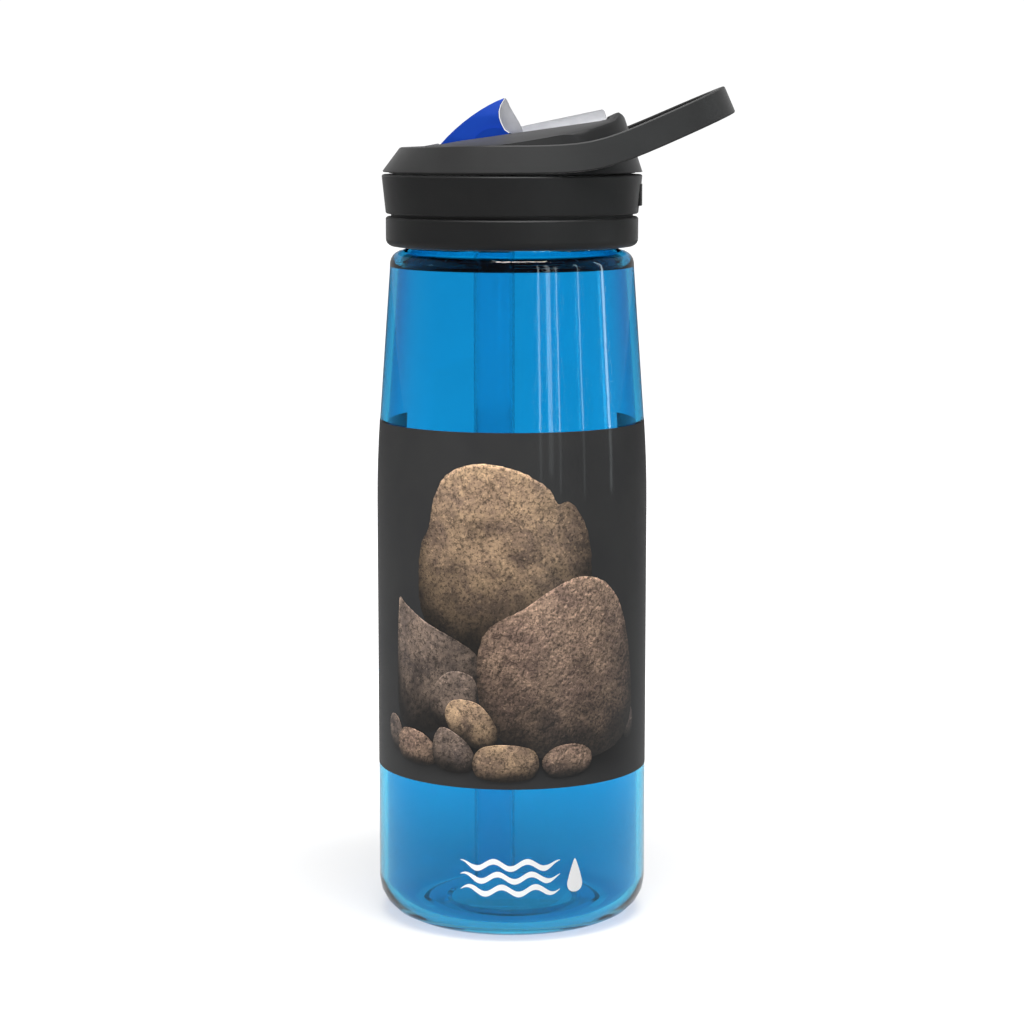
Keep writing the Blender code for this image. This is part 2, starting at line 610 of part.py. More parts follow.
def make_straw():
    """A straight tube pushed up on the spigot, its foot cut at a slant."""
    top, foot, slant = 199 * MM, 9.5 * MM, 0.35
    rings = []
    for radius, z in ((STRAW_R, top), (STRAW_R, foot), (STRAW_IN_R, foot), (STRAW_IN_R, top)):
        ring = []
        for i in range(SMALL_ROUND):
            a = 2 * pi * i / SMALL_ROUND
            drop = slant * radius * cos(a) if z == foot else 0
            ring.append((PIVOT.x + radius * cos(a), radius * sin(a), z + drop))
        rings.append(ring)
    lofted("straw", rings, "straw_clear", looped=True)


# ---------------------------------------------------------------- joints

LID_PIECES = ("lid_gasket", "lid_base", "lid_cover", "grip_band", "lower_collar", "carry_handle",
              "vent_valve", "spout_seal", "straw")
SPOUT_PIECES = ("spout_lever", "bite_valve")


def joint_empty(name, location, pieces, parent=None):
    """An empty on a joint's axis, with the pieces that move about it parented to it in place."""
    empty = bpy.data.objects.new(name, None)
    empty.location = location
    bpy.context.scene.collection.objects.link(empty)
    held = [bpy.data.objects[piece] for piece in pieces]
    bpy.context.view_layer.update()
    for obj in held:
        obj.parent = empty
        obj.matrix_parent_inverse = empty.matrix_world.inverted()
    if parent:
        empty.parent = parent
        empty.matrix_parent_inverse = parent.matrix_world.inverted()
    return empty


def main():
    clear_scene()
    make_bottle()
    make_gasket()
    make_lid_base()
    make_vent_valve()
    make_collar()
    make_band()
    make_handle()
    make_cover()
    make_lever()
    make_bite_valve()
    make_spout_seal()
    make_straw()
    lid_axis = joint_empty("lid_axis", (0, 0, 200 * MM), LID_PIECES)
    joint_empty("spout_axis", PIVOT, SPOUT_PIECES, lid_axis)


main()
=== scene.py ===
"""Looks of the drinking bottle: its plastics, silicone, printed wrap, white mark, studio and camera.

Metres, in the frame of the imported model: +Z up, +X to the handle, -Y the printed front.
"""

import json
from math import cos, pi, radians, sin

import bmesh
import bpy
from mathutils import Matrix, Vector, noise
from mathutils.bvhtree import BVHTree

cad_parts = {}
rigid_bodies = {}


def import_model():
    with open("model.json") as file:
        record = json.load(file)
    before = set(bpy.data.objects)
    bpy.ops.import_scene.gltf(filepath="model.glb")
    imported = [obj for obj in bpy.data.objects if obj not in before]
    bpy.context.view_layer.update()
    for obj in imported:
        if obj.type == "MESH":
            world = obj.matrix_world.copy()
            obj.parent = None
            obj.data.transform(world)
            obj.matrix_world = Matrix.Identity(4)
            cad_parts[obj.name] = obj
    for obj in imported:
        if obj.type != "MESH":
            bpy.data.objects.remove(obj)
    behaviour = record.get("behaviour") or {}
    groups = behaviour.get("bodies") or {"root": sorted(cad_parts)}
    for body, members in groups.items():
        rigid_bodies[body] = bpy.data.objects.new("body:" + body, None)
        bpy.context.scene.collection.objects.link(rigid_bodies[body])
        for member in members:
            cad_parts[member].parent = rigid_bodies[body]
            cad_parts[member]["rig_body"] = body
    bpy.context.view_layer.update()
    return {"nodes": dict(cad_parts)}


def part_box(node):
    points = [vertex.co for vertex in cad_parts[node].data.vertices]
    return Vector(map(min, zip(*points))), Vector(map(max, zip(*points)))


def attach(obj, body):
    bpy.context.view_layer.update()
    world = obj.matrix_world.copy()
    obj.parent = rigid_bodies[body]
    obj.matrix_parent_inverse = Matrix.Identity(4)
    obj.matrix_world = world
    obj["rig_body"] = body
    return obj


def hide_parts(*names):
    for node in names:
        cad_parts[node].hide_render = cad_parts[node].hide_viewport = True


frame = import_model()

MM = 0.001
BOTTLE_LOW, BOTTLE_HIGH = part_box("bottle_body")
BODY_R = BOTTLE_HIGH.x
SHARP = radians(32)  # a moulded edge that bends more than this stays crisp

# Camera: in front of the print and a little above the lid.
CAMERA_DISTANCE = 783.6 * MM
CAMERA_HEIGHT = 224.6 * MM
CAMERA_DOWN = radians(7.965)
CAMERA_LENS = 98.07  # mm on a 36 mm sensor

# Printed wrap, its ink laid over the bottle in layers.
WRAP_LOW = 43.5 * MM
WRAP_HIGH = 141.6 * MM
WRAP_HALF_TURN = radians(121)
INK_LIFT = 0.05 * MM
INK_LAYER = 0.03 * MM

# White mark near the base.
WAVE_COUNT = 3
WAVE_START = -14.5 * MM
WAVE_LENGTH = 28 * MM
WAVE_LOW = 15 * MM
WAVE_PITCH = 3.6 * MM
WAVE_SWING = 1.0 * MM
WAVE_HALF_WIDTH = 0.8 * MM
DROP_ALONG = 18 * MM
DROP_HEIGHT = 17.6 * MM
DROP_HALF_WIDTH = 3.3 * MM
DROP_TOP = 5.6 * MM
DROP_BOTTOM = 3.9 * MM

# Studio, in metres.
FLOOR_HALF = 6
LAMP_AIM = Vector((0, 0, 0.13))


def srgb(red, green, blue):
    """Screen colour, 0 to 255, as the linear colour that a shader takes."""
    channels = (c / 255 for c in (red, green, blue))
    return tuple(c / 12.92 if c <= 0.04045 else ((c + 0.055) / 1.055) ** 2.4 for c in channels)


def smooth_step(value, low, high):
    """0 below low, 1 above high, and a smooth rise between them."""
    t = min(1.0, max(0.0, (value - low) / (high - low)))
    return t * t * (3 - 2 * t)


# ---------------------------------------------------------------- node graphs

class Graph:
    """A material with a Principled shader, and short calls for the nodes that feed it."""

    def __init__(self, name):
        self.material = bpy.data.materials.new(name)
        self.material.use_nodes = True
        self.tree = self.material.node_tree
        self.shader = self.tree.nodes["Principled BSDF"]
        self.output = self.tree.nodes["Material Output"]
        self.place = self.add("ShaderNodeTexCoord").outputs["Object"]

    def add(self, kind, **settings):
        node = self.tree.nodes.new(kind)
        for key, value in settings.items():
            setattr(node, key, value)
        return node

    def feed(self, socket, value):
        if isinstance(value, bpy.types.NodeSocket):
            self.tree.links.new(value, socket)
        elif hasattr(value, "__len__") and len(value) == 3 and socket.type == "RGBA":
            socket.default_value = (*value, 1)
        else:
            socket.default_value = value

    def set(self, **values):
        """Sets the Principled shader's sockets: base_color=... is the socket Base Color."""
        for key, value in values.items():
            name = key.replace("_", " ").title().replace("Ior", "IOR")
            self.feed(self.shader.inputs[name], value)

    def noise(self, size, detail=3, roughness=0.5, distortion=0.0, place=None):
        """Noise whose lumps are about size across."""
        node = self.add("ShaderNodeTexNoise")
        for name, value in (("Vector", place or self.place), ("Scale", 1 / size), ("Detail", detail),
                            ("Roughness", roughness), ("Distortion", distortion)):
            self.feed(node.inputs[name], value)
        return node.outputs["Fac"]

    def stretched(self, scale):
        """The place with each axis times its scale, so that a small scale draws a pattern out."""
        node = self.add("ShaderNodeMapping")
        self.feed(node.inputs["Vector"], self.place)
        node.inputs["Scale"].default_value = scale
        return node.outputs["Vector"]

    def remap(self, value, low, high, to_low, to_high):
        """A smooth step from to_low to to_high as value goes from low to high."""
        node = self.add("ShaderNodeMapRange", interpolation_type="SMOOTHSTEP")
        for name, given in (("Value", value), ("From Min", low), ("From Max", high),
                            ("To Min", to_low), ("To Max", to_high)):
            self.feed(node.inputs[name], given)
        return node.outputs["Result"]

    def math(self, operation, a, b=0.0):
        node = self.add("ShaderNodeMath", operation=operation)
        self.feed(node.inputs[0], a)
        self.feed(node.inputs[1], b)
        return node.outputs[0]

    def mix(self, factor, a, b, blend="MIX"):
        node = self.add("ShaderNodeMix", data_type="RGBA", blend_type=blend)
        self.feed(node.inputs["Factor"], factor)
        self.feed(node.inputs["A"], a)
        self.feed(node.inputs["B"], b)
        return node.outputs["Result"]

    def bump(self, height, distance, strength=1.0):
        """Gives the shader a relief as deep as distance."""
        node = self.add("ShaderNodeBump")
        self.feed(node.inputs["Height"], height)
        self.feed(node.inputs["Distance"], distance)
        self.feed(node.inputs["Strength"], strength)
        self.feed(self.shader.inputs["Normal"], node.outputs["Normal"])

    def attribute(self, name):
        return self.add("ShaderNodeAttribute", attribute_name=name).outputs["Fac"]


def black_plastic(name, dark, light, roughness):
    """Satin black moulding: a fine sparked grain, faint flow marks and rubbed patches."""
    g = Graph(name)
    flow = g.noise(26 * MM, 3, 0.55, 0.6)
    grain = g.noise(0.35 * MM, 2, 0.6)
    rubbed = g.noise(6 * MM, 4, 0.6)
    g.set(base_color=g.mix(g.remap(flow, 0.3, 0.7, 0, 1), dark, light))
    blend = g.math("ADD", g.math("MULTIPLY", rubbed, 0.12), g.math("MULTIPLY", grain, 0.06))
    g.set(roughness=g.math("ADD", blend, roughness - 0.09), specular_ior_level=0.35)
    g.set(sheen_weight=0.17, sheen_roughness=0.35)
    g.bump(g.math("ADD", grain, g.math("MULTIPLY", rubbed, 0.6)), 0.012 * MM, 0.8)
    return g.material


def blue_plastic():
    """Bright blue moulding of the flip lever."""
    g = Graph("lever_blue")
    flow = g.noise(9 * MM, 3, 0.5, 0.8)
    grain = g.noise(0.3 * MM, 2, 0.6)
    g.set(base_color=g.mix(g.remap(flow, 0.3, 0.7, 0, 1), (0.005, 0.041, 0.32), (0.006, 0.048, 0.36)))
    g.set(roughness=g.math("ADD", g.math("MULTIPLY", grain, 0.1), 0.5), specular_ior_level=0.1)
    g.bump(grain, 0.006 * MM, 0.6)
    return g.material


def let_lamps_through(g, tint):
    """Lets lamp light through the clear plastic with its tint, as real clear plastic does."""
    see_through = g.add("ShaderNodeBsdfTransparent")
    g.feed(see_through.inputs["Color"], tint)
    mix = g.add("ShaderNodeMixShader")
    g.feed(mix.inputs[0], g.add("ShaderNodeLightPath").outputs["Is Shadow Ray"])
    g.tree.links.new(g.shader.outputs[0], mix.inputs[1])
    g.tree.links.new(see_through.outputs[0], mix.inputs[2])
    g.tree.links.new(mix.outputs[0], g.output.inputs["Surface"])


def clear_blue():
    """Tinted copolyester, deeper where its thicker upper wall is seen edge on, with a rippled polish."""
    g = Graph("bottle_clear_blue")
    scuffs = g.noise(1.2 * MM, 4, 0.7)
    cloud = g.noise(14 * MM, 2, 0.5)
    tint = g.mix(cloud, (0.035, 0.455, 0.705), (0.045, 0.485, 0.735))
    axes = g.add("ShaderNodeSeparateXYZ")
    g.feed(axes.inputs[0], g.place)
    thick = g.remap(axes.outputs["Z"], 60 * MM, 180 * MM, 0, 1)
    edge_on = g.remap(g.add("ShaderNodeLayerWeight").outputs["Facing"], 0.36, 0.78, 0, 1)
    g.set(base_color=g.mix(g.math("MULTIPLY", thick, edge_on), tint, (0.002, 0.17, 0.47)))
    g.set(transmission_weight=1.0, ior=1.32, specular_ior_level=0.1)
    g.set(roughness=g.remap(scuffs, 0.5, 0.85, 0.0, 0.05))
    g.set(coat_weight=0.22, coat_roughness=0.02, coat_ior=1.4)
    waves = g.noise(2.6 * MM, 4, 0.7, 0.4, place=g.stretched((1, 1, 0.1)))
    ripple = g.add("ShaderNodeBump")
    g.feed(ripple.inputs["Height"], waves)
    g.feed(ripple.inputs["Distance"], 0.12 * MM)
    g.feed(g.shader.inputs["Coat Normal"], ripple.outputs["Normal"])
    let_lamps_through(g, (0.5, 0.53, 0.68))
    return g.material


def silicone(name, colour, transmission, roughness):
    """Cloudy moulded silicone."""
    g = Graph(name)
    cloud = g.noise(3 * MM, 3, 0.5)
    grain = g.noise(0.5 * MM, 2, 0.5)
    pale = tuple(min(1, c * 1.12) for c in colour)
    g.set(base_color=g.mix(g.remap(cloud, 0.3, 0.7, 0, 1), colour, pale))
    g.set(transmission_weight=transmission, ior=1.42)
    g.set(roughness=g.math("ADD", g.math("MULTIPLY", grain, 0.12), roughness - 0.06))
    g.bump(grain, 0.008 * MM, 0.6)
    return g.material


def straw_plastic():
    """Thin extruded tube, with faint draw lines along it."""
    g = Graph("straw_tube")
    lines = g.noise(0.7 * MM, 2, 0.5, place=g.stretched((1, 1, 0.02)))
    g.set(base_color=g.mix(lines, (0.78, 0.90, 0.97), (0.86, 0.95, 1.0)))
    g.set(transmission_weight=1.0, ior=1.5)
    g.set(roughness=g.math("ADD", g.math("MULTIPLY", lines, 0.1), 0.12))
    g.bump(lines, 0.02 * MM, 0.6)
    return g.material


# ---------------------------------------------------------------- print on the bottle

bottle_mesh = frame["nodes"]["bottle_body"].data
surface = BVHTree.FromPolygons([v.co for v in bottle_mesh.vertices],
                               [p.vertices for p in bottle_mesh.polygons])


def outer_radius(z):
    """The bottle's outer radius at a height, read from the frame along +X."""
    hit = surface.ray_cast(Vector((1, 0, z)), Vector((-1, 0, 0)))
    return hit[0].x


def on_bottle(along, z, lift):
    """A point on the bottle's face: along is the distance round it from the front's middle."""
    r = outer_radius(z) + lift
    return Vector((r * sin(along / BODY_R), -r * cos(along / BODY_R), z))


def face_mesh(name, rows, material, attributes=(), closed=False):
    """A thin skin from rows of points; closed joins each row's end to its start."""
    bm = bmesh.new()
    layers = {key: bm.verts.layers.float.new(key) for key, _ in attributes}
    grid = [[bm.verts.new(p) for p in row] for row in rows]
    for key, values in attributes:
        for row, given in zip(grid, values):
            for vert, value in zip(row, given):
                vert[layers[key]] = value
    wrap = 0 if closed else 1
    for low, high in zip(grid, grid[1:]):
        for i in range(len(low) - wrap):
            j = (i + 1) % len(low)
            bm.faces.new((low[i], low[j], high[j], high[i]))
    mesh = bpy.data.meshes.new(name)
    bm.to_mesh(mesh)
    bm.free()
    mesh.shade_smooth()
    mesh.materials.append(material)
    obj = bpy.data.objects.new(name, mesh)
    bpy.context.scene.collection.objects.link(obj)
    return obj


def wrap_ink():
    """Dark grey ink that falls off to black under the stones."""
    g = Graph("wrap_ink")
    speck = g.noise(0.4 * MM, 2, 0.5)
    soft = g.noise(18 * MM, 2, 0.5)
    grey = g.mix(g.remap(soft, 0.3, 0.7, 0, 1), srgb(50, 50, 51), srgb(54, 54, 54))
    g.set(base_color=g.mix(g.attribute("shadow"), grey, srgb(14, 13, 13)))
    g.set(roughness=g.math("ADD", g.math("MULTIPLY", speck, 0.1), 0.42), specular_ior_level=0.15)
    g.set(coat_weight=0.1, coat_roughness=0.08)
    g.bump(speck, 0.004 * MM, 0.5)
    return g.material


def make_wrap():
    """The dark printed sheet round the front, with the stones' shadow near its foot."""
    columns = 122
    rows = 50
    points = []
    shadow = []
    for k in range(rows + 1):
        z = WRAP_LOW + (WRAP_HIGH - WRAP_LOW) * k / rows
        row = []
        shade = []
        for i in range(columns + 1):
            along = BODY_R * WRAP_HALF_TURN * (2 * i / columns - 1)
            row.append(on_bottle(along, z, INK_LIFT))
            across = 1 - smooth_step(abs(along - 2 * MM), 24 * MM, 46 * MM)
            fall = 1 - smooth_step(abs(z - 53 * MM), 2 * MM, 9 * MM)
            shade.append(0.6 * across * fall)
        points.append(row)
        shadow.append(shade)
    wrap = face_mesh("printed_wrap", points, wrap_ink(), (("shadow", shadow),))
    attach(wrap, "bottle")


def stone_ink(name, dark, light, speckle, relief, crack_size):
    """Printed stone: brown mineral patches, dark specks, cracks and pits, times the painted light."""
    g = Graph(name)
    patch = g.noise(9 * MM, 5, 0.65, 0.4)
    colour = g.mix(g.remap(patch, 0.34, 0.66, 0, 1), dark, light)
    blotch = g.remap(g.noise(speckle * 3.2, 4, 0.7, 0.4), 0.5, 0.62, 0, 0.45)
    colour = g.mix(blotch, colour, tuple(c * 0.45 for c in dark))
    fleck = g.remap(g.noise(speckle * 0.8, 4, 0.8, 0.3), 0.48, 0.6, 0, 0.8)
    colour = g.mix(fleck, colour, tuple(c * 0.2 for c in dark))
    bright = g.remap(g.noise(speckle * 0.9, 3, 0.75), 0.56, 0.7, 0, 0.5)
    colour = g.mix(bright, colour, tuple(min(1, c * 1.8) for c in light))
    bend = g.noise(crack_size, 3, 0.6, 1.5, place=g.stretched((1, 1, 1.8)))
    crack = g.remap(g.math("ABSOLUTE", g.math("SUBTRACT", bend, 0.5)), 0.0, 0.006, 0.5, 0)
    colour = g.mix(crack, colour, tuple(c * 0.3 for c in dark))
    shifted = g.add("ShaderNodeVectorMath", operation="ADD")
    g.feed(shifted.inputs[0], g.place)
    shifted.inputs[1].default_value = (0.25 * MM, 0, -0.35 * MM)
    pits = g.noise(2.2 * MM, 3, 0.6, 0.5)
    pits_beside = g.noise(2.2 * MM, 3, 0.6, 0.5, place=shifted.outputs["Vector"])
    slope = g.math("MULTIPLY", g.math("SUBTRACT", pits, pits_beside), relief)
    light_map = g.math("MULTIPLY", g.attribute("light"), g.math("ADD", slope, 1.0))
    colour = g.mix(1.0, colour, light_map, "MULTIPLY")
    g.set(base_color=colour, specular_ior_level=0.4)
    g.set(roughness=g.math("ADD", g.math("MULTIPLY", patch, 0.15), 0.36))
    g.set(coat_weight=0.12, coat_roughness=0.08)
    return g.material


def closed_curve(points, steps):
    """A smooth closed curve through points."""
    curve = []
    count = len(points)
    for i in range(count):
        a, b, c, d = (Vector(points[(i + k - 1) % count]) for k in range(4))
        for j in range(steps):
            t = j / steps
            curve.append(0.5 * (2 * b + (c - a) * t + (2 * a - 5 * b + 4 * c - d) * t * t
                                + (3 * b - a - 3 * c + d) * t * t * t))
    return curve


STONES = (  # name, ink, layer, outline as (round the bottle, height) in mm
    ("boulder_back", "pale", 1,
     ((-28, 103), (-26.8, 110.5), (-24.2, 115), (-22.8, 122), (-18.6, 129.8), (-9, 133.2), (2, 131.2),
      (10, 126.4), (12.6, 122.2), (16.4, 122.4), (21, 116), (23, 106), (22, 92), (12, 84), (-6, 79),
      (-20, 83), (-27, 92))),
    ("shard", "slate", 2,
     ((-36.6, 91), (-35.8, 94.5), (-33.5, 93), (-25, 88.5), (-15.5, 84.5), (-9.5, 80), (-10, 71),
      (-18, 61), (-30, 57), (-36.5, 62), (-37.2, 78))),
    ("boulder_front", "warm", 4,
     ((-9.5, 80), (-6, 88.5), (3, 93.5), (10.5, 98.5), (19, 101.8), (28, 99.5), (35, 91), (39, 77),
      (39.5, 61), (30, 52.5), (12, 51.5), (-2, 56.5), (-8.5, 66))),
    ("pebble_ledge", "slate", 3, ((36, 58), (36.8, 63), (39, 64), (41, 60), (40, 55.5), (37, 54.5))),
    ("pebble_high", "slate", 5,
     ((-23.5, 70), (-18, 75.5), (-11.5, 75), (-9.5, 70), (-12, 63), (-20, 60), (-24, 64))),
    ("pebble_split", "pale", 7,
     ((-19, 64.5), (-16, 68), (-9, 67), (-4.2, 60.5), (-5, 55.8), (-10, 54.8), (-17, 59))),
    ("pebble_left", "slate", 4,
     ((-42, 57), (-40.5, 60.8), (-37, 60), (-34.5, 55), (-36, 51), (-40, 52))),
    ("pebble_low", "warm", 6,
     ((-37, 54), (-34, 58), (-27, 57.5), (-22.8, 54.5), (-22.6, 49.5), (-29, 48.5), (-35, 49.8))),
    ("pebble_grey", "slate", 8,
     ((-23, 55.5), (-20, 60), (-13.5, 57), (-10.4, 52.5), (-12, 48.2), (-18, 47.6), (-22.4, 50))),
    ("pebble_front", "pale", 9,
     ((-10.8, 51.5), (-8, 55.2), (-1, 56), (5.5, 54.6), (7.4, 50.6), (5, 46.6), (-3, 45.6), (-9.6, 47))),
    ("pebble_right", "warm", 9,
     ((8.2, 51), (11.5, 54.8), (17.5, 55.6), (22.4, 53.6), (22.8, 49.4), (18.5, 47), (11, 47))),
)

PAINT_LIGHT = Vector((-0.12, 0.76, 0.62)).normalized()
STONE_RINGS = 22
CURVE_STEPS = 14
FOOT_LIGHT = {"boulder_back": 0.1, "boulder_front": 0.5}
PEBBLE_FOOT_LIGHT = 0.24


def painted_light(outward, share, here, seed, low, high, foot_light):
    """The light that the print shows on a stone, here, a share of the way from middle to outline.

    outward points from the middle to the outline, low and high are the stone's foot and top, and
    foot_light is how light it stays at its foot.
    """
    lump = Vector((here.x, here.y, seed)) * 0.16
    tilt = Vector((noise.noise(lump), noise.noise(lump + Vector((31, 7, 3))))) * 0.45
    steep = 1.5 * share ** 3.2 + 0.18 * share
    normal = Vector((outward.x * steep + tilt.x, outward.y * steep + tilt.y, 1)).normalized()
    lit = max(0.0, normal.dot(PAINT_LIGHT))
    foot = smooth_step((here.y - low) / (high - low), -0.05, 0.6)
    rim = 2.0 * smooth_step(share, 0.955, 0.99) * max(0.0, outward.y) ** 3
    edge = 1 - 0.45 * smooth_step(share, 0.86, 1.0) * (1 - max(0.0, outward.y))
    return (0.16 + 1.2 * lit) * (foot_light + (1 - foot_light) * foot) * edge + rim


def make_stones():
    """Each printed stone as rings from its middle to its outline, one ink layer over the last."""
    inks = {
        "pale": stone_ink("stone_pale", srgb(128, 106, 90), srgb(184, 154, 122), 1.1 * MM, 1.2, 14 * MM),
        "warm": stone_ink("stone_warm", srgb(122, 99, 86), srgb(166, 138, 116), 1.0 * MM, 4.0, 12 * MM),
        "slate": stone_ink("stone_slate", srgb(90, 78, 72), srgb(136, 117, 103), 1.4 * MM, 1.5, 17 * MM),
    }
    for seed, (name, ink, layer, outline) in enumerate(STONES):
        curve = closed_curve(outline, CURVE_STEPS)
        centre = sum(curve, Vector((0, 0))) / len(curve)
        low = min(p.y for p in curve)
        high = max(p.y for p in curve)
        foot_light = FOOT_LIGHT.get(name, PEBBLE_FOOT_LIGHT)
        rows = []
        lights = []
        for k in range(STONE_RINGS + 1):
            share = max(k / STONE_RINGS, 0.004)
            row = []
            light = []
            for p in curve:
                rough = 1 + 0.012 * noise.noise(Vector((p.x * 0.6, p.y * 0.6, seed * 5)))
                here = centre + (p - centre) * share * rough
                row.append(on_bottle(here.x * MM, here.y * MM, INK_LIFT + INK_LAYER * layer))
                outward = (p - centre).normalized()
                light.append(painted_light(outward, share, here, seed * 9.7, low, high, foot_light))
            rows.append(row)
            lights.append(light)
        stone = face_mesh("print_" + name, rows, inks[ink], (("light", lights),), closed=True)
        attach(stone, "bottle")


def make_mark():
    """A plain white mark: three running waves and a drop."""
    g = Graph("white_ink")
    speck = g.noise(0.5 * MM, 2, 0.5)
    g.set(base_color=g.mix(speck, (0.93, 0.93, 0.93), (0.98, 0.98, 0.98)))
    g.set(roughness=g.math("ADD", g.math("MULTIPLY", speck, 0.1), 0.4))
    for k in range(WAVE_COUNT):
        z_mid = WAVE_LOW + WAVE_PITCH * k
        rows = [[], []]
        for i in range(61):
            t = i / 60
            along = WAVE_START + WAVE_LENGTH * t
            wave = WAVE_SWING * sin(2 * pi * (3 * t + 0.12 * k))
            half = WAVE_HALF_WIDTH * min(1.0, 6 * t + 0.1, 6 * (1 - t) + 0.1)
            rows[0].append(on_bottle(along, z_mid + wave - half, INK_LIFT))
            rows[1].append(on_bottle(along, z_mid + wave + half, INK_LIFT))
        wave_piece = face_mesh(f"mark_wave_{k}", rows, g.material)
        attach(wave_piece, "bottle")
    rings = []
    for share in (0.01, 0.5, 1):
        ring = []
        for i in range(40):
            a = 2 * pi * i / 40
            width = DROP_HALF_WIDTH * sin(a) * (0.62 - 0.38 * cos(a)) * share
            reach = DROP_TOP if cos(a) > 0 else DROP_BOTTOM
            ring.append(on_bottle(DROP_ALONG + width, DROP_HEIGHT + reach * cos(a) * share, INK_LIFT))
        rings.append(ring)
    drop = face_mesh("mark_drop", rings, g.material, closed=True)
    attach(drop, "bottle")


# ---------------------------------------------------------------- studio

def make_floor():
    """A white floor that glows to the eye, a little less about the bottle as painted shade, and with a
    painted light about the bottle that shows only in reflections.
    """
    g = Graph("floor_white")
    g.set(base_color=(0.4, 0.4, 0.4), roughness=0.8, specular_ior_level=0.1, emission_color=(1, 1, 1))
    path = g.add("ShaderNodeLightPath")
    seen = g.math("MAXIMUM", path.outputs["Is Camera Ray"], path.outputs["Is Transmission Ray"])
    away = g.add("ShaderNodeVectorMath", operation="LENGTH")
    g.feed(away.inputs[0], g.place)
    # painted shade: the floor's glow to the eye is dimmer near the bottle
    glow_with_painted_shade = g.remap(away.outputs["Value"], 50 * MM, 260 * MM, 0.53, 1.02)
    # painted light: near the bottle the floor glows to glossy rays only, so it shows only in reflections
    painted_reflection_glow = g.remap(away.outputs["Value"], 60 * MM, 220 * MM, 0.22, 0)
    mirrored = g.math("MULTIPLY", path.outputs["Is Glossy Ray"], painted_reflection_glow)
    g.set(emission_strength=g.math("MAXIMUM", g.math("MULTIPLY", seen, glow_with_painted_shade), mirrored))
    mesh = bpy.data.meshes.new("studio_floor")
    corners = [(x * FLOOR_HALF, y * FLOOR_HALF, 0) for x, y in ((-1, -1), (1, -1), (1, 1), (-1, 1))]
    mesh.from_pydata(corners, [], [(0, 1, 2, 3)])
    mesh.materials.append(g.material)
    floor = bpy.data.objects.new("studio_floor", mesh)
    floor.location.z = BOTTLE_LOW.z
    bpy.context.scene.collection.objects.link(floor)


def make_lamp(name, round_deg, up_deg, distance, width, height, power, mirrored=True, lights=True):
    """A soft box that faces the bottle. round_deg turns from the front towards the handle.

    One that is not mirrored shows in no polish. One that doesn't light is only a streak in the
    polish, and faintly cyan.
    """
    data = bpy.data.lights.new(name, "AREA")
    data.shape = "RECTANGLE"
    data.size = width
    data.size_y = height
    data.energy = power
    data.color = (1, 1, 1) if lights else (0.9, 0.98, 1)
    lamp = bpy.data.objects.new(name, data)
    turn, up = radians(round_deg), radians(up_deg)
    lamp.location = LAMP_AIM + distance * Vector((sin(turn) * cos(up), -cos(turn) * cos(up), sin(up)))
    lamp.rotation_euler = (LAMP_AIM - lamp.location).to_track_quat("-Z", "Y").to_euler()
    lamp.visible_glossy = mirrored
    lamp.visible_transmission = mirrored
    lamp.visible_diffuse = lights
    bpy.context.scene.collection.objects.link(lamp)


def make_lamps():
    make_lamp("high_key", 12, 70, 1.3, 0.8, 0.5, 25)
    make_lamp("left_wall", -50, 1, 1.4, 0.6, 0.25, 9, mirrored=False)
    make_lamp("top_box", 150, 75, 1.2, 0.9, 0.9, 4)
    make_lamp("window_left", 24, 14, 1.3, 0.04, 0.9, 0.7, lights=False)
    make_lamp("window", 33, 14, 1.3, 0.09, 0.8, 1.3, lights=False)
    make_lamp("window_right", 41, 8, 1.3, 0.03, 0.6, 0.45, lights=False)
    make_lamp("thin_strip", 63, 10, 1.2, 0.03, 0.9, 0.6, lights=False)
    make_lamp("right_strip", 92, 12, 1.2, 0.06, 0.9, 1.6, lights=False)
    make_lamp("left_spark", -84, 22, 1.2, 0.03, 0.16, 0.3, lights=False)


def make_world():
    """White to look at and through. What is mirrored is grey behind the bottle and dim before it."""
    world = bpy.data.worlds.new("studio")
    bpy.context.scene.world = world
    world.use_nodes = True
    tree = world.node_tree
    background = tree.nodes["Background"]
    background.inputs["Color"].default_value = (1, 1, 1, 1)
    path = tree.nodes.new("ShaderNodeLightPath")
    seen = tree.nodes.new("ShaderNodeMath")
    seen.operation = "MAXIMUM"
    tree.links.new(path.outputs["Is Camera Ray"], seen.inputs[0])
    tree.links.new(path.outputs["Is Transmission Ray"], seen.inputs[1])
    direction = tree.nodes.new("ShaderNodeTexCoord")
    parts = tree.nodes.new("ShaderNodeSeparateXYZ")
    tree.links.new(direction.outputs["Generated"], parts.inputs[0])
    behind = tree.nodes.new("ShaderNodeMapRange")
    tree.links.new(parts.outputs["Y"], behind.inputs["Value"])
    for name, value in (("From Min", -0.3), ("From Max", 0.6), ("To Min", 0.12), ("To Max", 0.3)):
        behind.inputs[name].default_value = value
    level = tree.nodes.new("ShaderNodeMix")
    tree.links.new(seen.outputs[0], level.inputs["Factor"])
    tree.links.new(behind.outputs["Result"], level.inputs["A"])
    level.inputs["B"].default_value = 1.05
    tree.links.new(level.outputs["Result"], background.inputs["Strength"])


def make_camera():
    data = bpy.data.cameras.new("camera")
    data.lens = CAMERA_LENS
    data.sensor_width = 36
    camera = bpy.data.objects.new("camera", data)
    camera.location = (0, -CAMERA_DISTANCE, CAMERA_HEIGHT)
    camera.rotation_euler = (pi / 2 - CAMERA_DOWN, 0, 0)
    bpy.context.scene.collection.objects.link(camera)
    bpy.context.scene.camera = camera


# ---------------------------------------------------------------- moulded parts

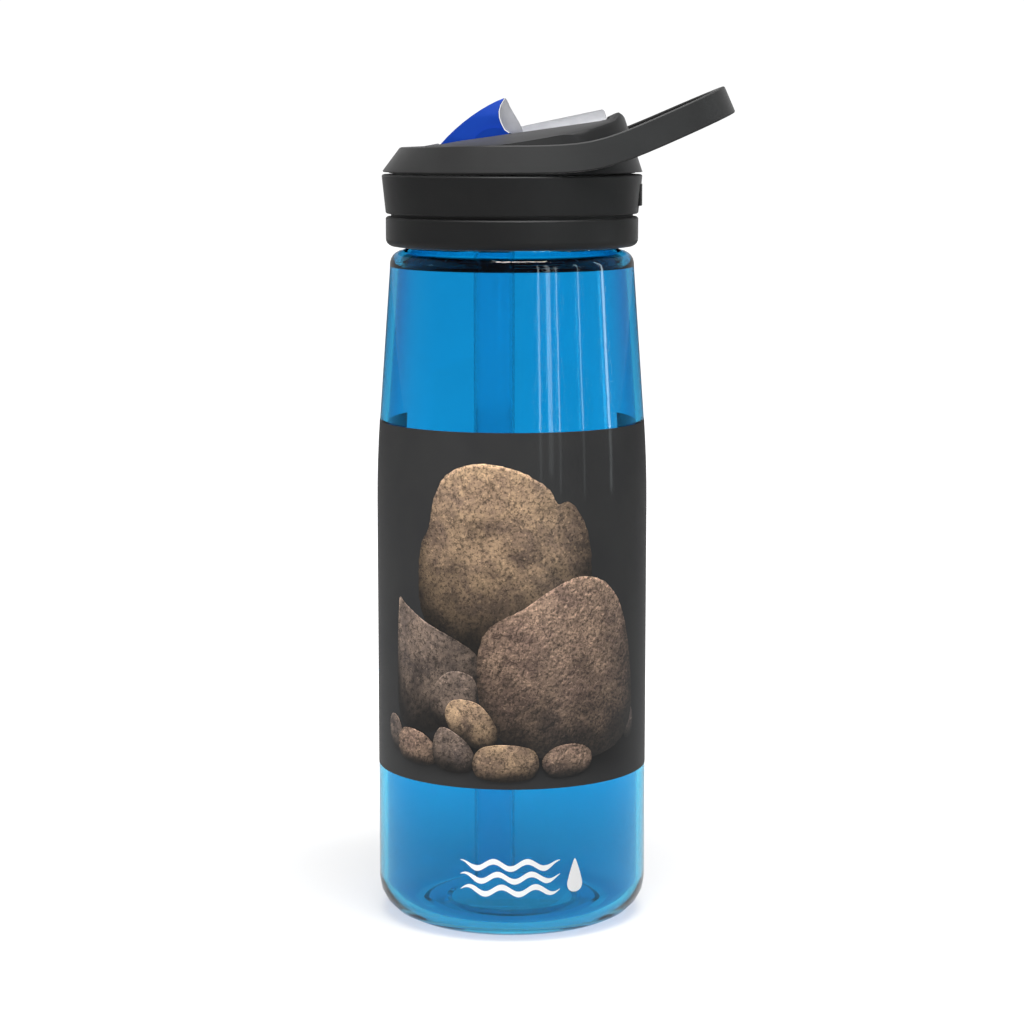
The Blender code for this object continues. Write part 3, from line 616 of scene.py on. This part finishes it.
def moulded(name, node, material, edge=0.0):
    """A smooth-shaded skin over a CAD node's own shape, with its sharp edges softened by edge."""
    bm = bmesh.new()
    bm.from_mesh(frame["nodes"][node].data)
    bmesh.ops.remove_doubles(bm, verts=bm.verts, dist=0.001 * MM)
    bmesh.ops.dissolve_limit(bm, angle_limit=radians(0.2), verts=bm.verts, edges=bm.edges)
    for face in bm.faces:
        face.smooth = True
    for line in bm.edges:
        line.smooth = line.calc_face_angle(0) < SHARP
    mesh = bpy.data.meshes.new(name)
    bm.to_mesh(mesh)
    bm.free()
    if "custom_normal" in mesh.attributes:
        mesh.attributes.remove(mesh.attributes["custom_normal"])
    mesh.materials.clear()
    mesh.materials.append(material)
    skin = bpy.data.objects.new(name, mesh)
    bpy.context.scene.collection.objects.link(skin)
    if edge:
        bevel = skin.modifiers.new("soft edges", "BEVEL")
        bevel.width = edge
        bevel.segments = 2
        bevel.limit_method = "ANGLE"
        bevel.angle_limit = SHARP
    flat_faces = skin.modifiers.new("flat faces first", "WEIGHTED_NORMAL")
    flat_faces.weight = 90
    flat_faces.keep_sharp = True
    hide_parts(node)
    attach(skin, frame["nodes"][node]["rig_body"])


def make_moulded_parts():
    black = black_plastic("lid_black", srgb(18, 18, 19), srgb(22, 22, 22), 0.54)
    handle_black = black_plastic("handle_black", srgb(35, 35, 35), srgb(40, 40, 40), 0.5)
    seal = silicone("silicone_seal", (0.62, 0.64, 0.68), 0.4, 0.5)
    moulded("bottle_shell", "bottle_body", clear_blue())
    moulded("lid_liner", "lid_base", black)
    moulded("lid_top", "lid_cover", black, 0.2 * MM)
    moulded("lid_grip_band", "grip_band", black, 0.15 * MM)
    moulded("lid_collar", "lower_collar", black)
    moulded("handle_ribbon", "carry_handle", handle_black)
    moulded("flip_lever", "spout_lever", blue_plastic(), 0.2 * MM)
    moulded("mouthpiece", "bite_valve", silicone("silicone_clear", (0.49, 0.495, 0.52), 0.55, 0.35))
    moulded("drinking_tube", "straw", straw_plastic())
    moulded("neck_gasket", "lid_gasket", seal)
    moulded("vent_umbrella", "vent_valve", seal)
    moulded("tower_seal", "spout_seal", seal)


def main():
    bpy.context.scene.view_settings.view_transform = "Standard"
    make_camera()
    make_moulded_parts()
    make_wrap()
    make_stones()
    make_mark()
    make_floor()
    make_world()
    make_lamps()


main()
